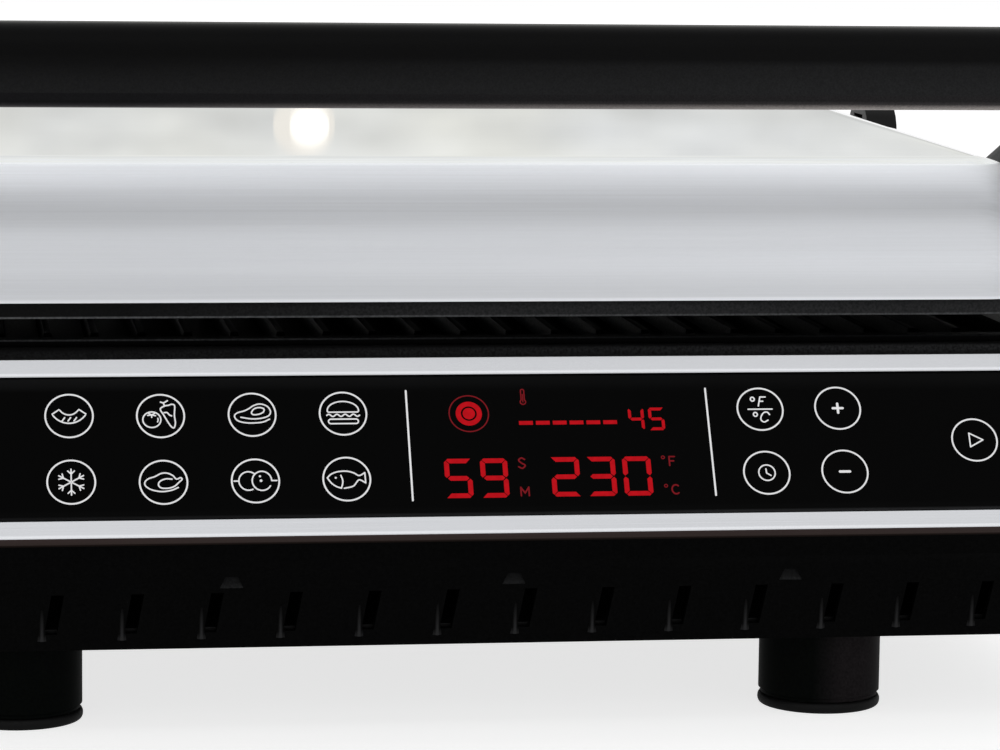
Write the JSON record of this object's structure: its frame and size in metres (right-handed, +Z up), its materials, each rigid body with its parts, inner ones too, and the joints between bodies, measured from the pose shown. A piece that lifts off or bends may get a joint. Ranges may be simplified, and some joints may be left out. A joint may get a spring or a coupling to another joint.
{
  "type": "electric contact grill",
  "caption": "Countertop contact grill: hinged floating lid with ribbed plates, full-width handle, sloping touch panel with red display, rear drip tray, round feet.",
  "frame": {"origin": "middle of the footprint on the surface the feet stand on", "axes": "+Z up, -Y towards the control panel and handle, +X to the right seen from the front"},
  "size_m": [0.3994, 0.316, 0.192],
  "materials": {
    "black_plastic": "fine moulded texture, satin",
    "satin_black": "smooth satin",
    "bezel_steel": "brushed along its length",
    "lid_steel": "brushed along its length on the face, polished deck",
    "panel_glass": "gloss black, printed from behind",
    "circuit_board": "solder mask",
    "display": "red segments",
    "cast_plate": "dark non-stick coat",
    "element": "oxidised alloy tube",
    "reflector": "aluminised sheet",
    "sensor": "turned",
    "rubber": "matt",
    "bright_steel": "bright"
  },
  "bodies": {
    "root": {"base_housing": "black_plastic", "bottom_cover": "black_plastic", "bottom_screw_1": "bright_steel", "bottom_screw_2": "bright_steel", "bottom_screw_3": "bright_steel", "bottom_screw_4": "bright_steel", "control_bezel": "bezel_steel", "control_glass": "panel_glass", "touch_board": "circuit_board", "led_display": "display", "power_board": "circuit_board", "lower_plate": "cast_plate", "lower_heating_element": "element", "lower_reflector": "reflector", "lower_temp_sensor": "sensor", "foot_front_left": "black_plastic", "foot_front_right": "black_plastic", "foot_rear_left": "black_plastic", "foot_rear_right": "black_plastic", "foot_pad_front_left": "rubber", "foot_pad_front_right": "rubber", "foot_pad_rear_left": "rubber", "foot_pad_rear_right": "rubber", "hinge_tower_left": "black_plastic", "hinge_tower_right": "black_plastic", "cord_gland": "rubber", "probe_jack": "satin_black", "lower_release_spring": "bright_steel"},
    "carriage": {"hinge_shaft": "bright_steel", "hinge_slider_left": "satin_black", "hinge_slider_right": "satin_black"},
    "lid": {"lid_shell": "lid_steel", "lid_frame": "black_plastic", "upper_plate": "cast_plate", "upper_heating_element": "element", "upper_reflector": "reflector", "upper_temp_sensor": "sensor", "hinge_arm_left": "black_plastic", "hinge_arm_right": "black_plastic", "handle_bar": "satin_black", "handle_arm_left": "satin_black", "handle_arm_right": "satin_black", "handle_bolt_front_left": "bright_steel", "handle_bolt_front_right": "bright_steel", "handle_bolt_rear_left": "bright_steel", "handle_bolt_rear_right": "bright_steel", "upper_release_spring": "bright_steel"},
    "tray": {"drip_tray": "satin_black"},
    "lower_button": {"lower_release_button": "satin_black"},
    "upper_button": {"upper_release_button": "satin_black"}
  },
  "joints": [
    {"name": "hinge_float", "type": "slide", "parent": "root", "child": "carriage", "axis": [0, 0, 1], "range_m": [0, 0.025]},
    {"name": "lid_hinge", "type": "hinge", "parent": "carriage", "child": "lid", "pos_m": [0, 0.144, 0.118], "axis": [-1, 0, 0], "range_deg": [0, 105]},
    {"name": "drip_tray_slide", "type": "slide", "parent": "root", "child": "tray", "axis": [0, 1, 0], "range_m": [0, 0.07]},
    {"name": "lower_release_press", "type": "slide", "parent": "root", "child": "lower_button", "axis": [-1, 0, 0], "range_m": [0, 0.0045], "stiffness_N_per_m": 300, "springref_m": -0.003, "deforming": ["lower_release_spring"]},
    {"name": "upper_release_press", "type": "slide", "parent": "lid", "child": "upper_button", "axis": [-1, 0, 0], "range_m": [0, 0.0045], "stiffness_N_per_m": 300, "springref_m": -0.003, "deforming": ["upper_release_spring"]}
  ]
}
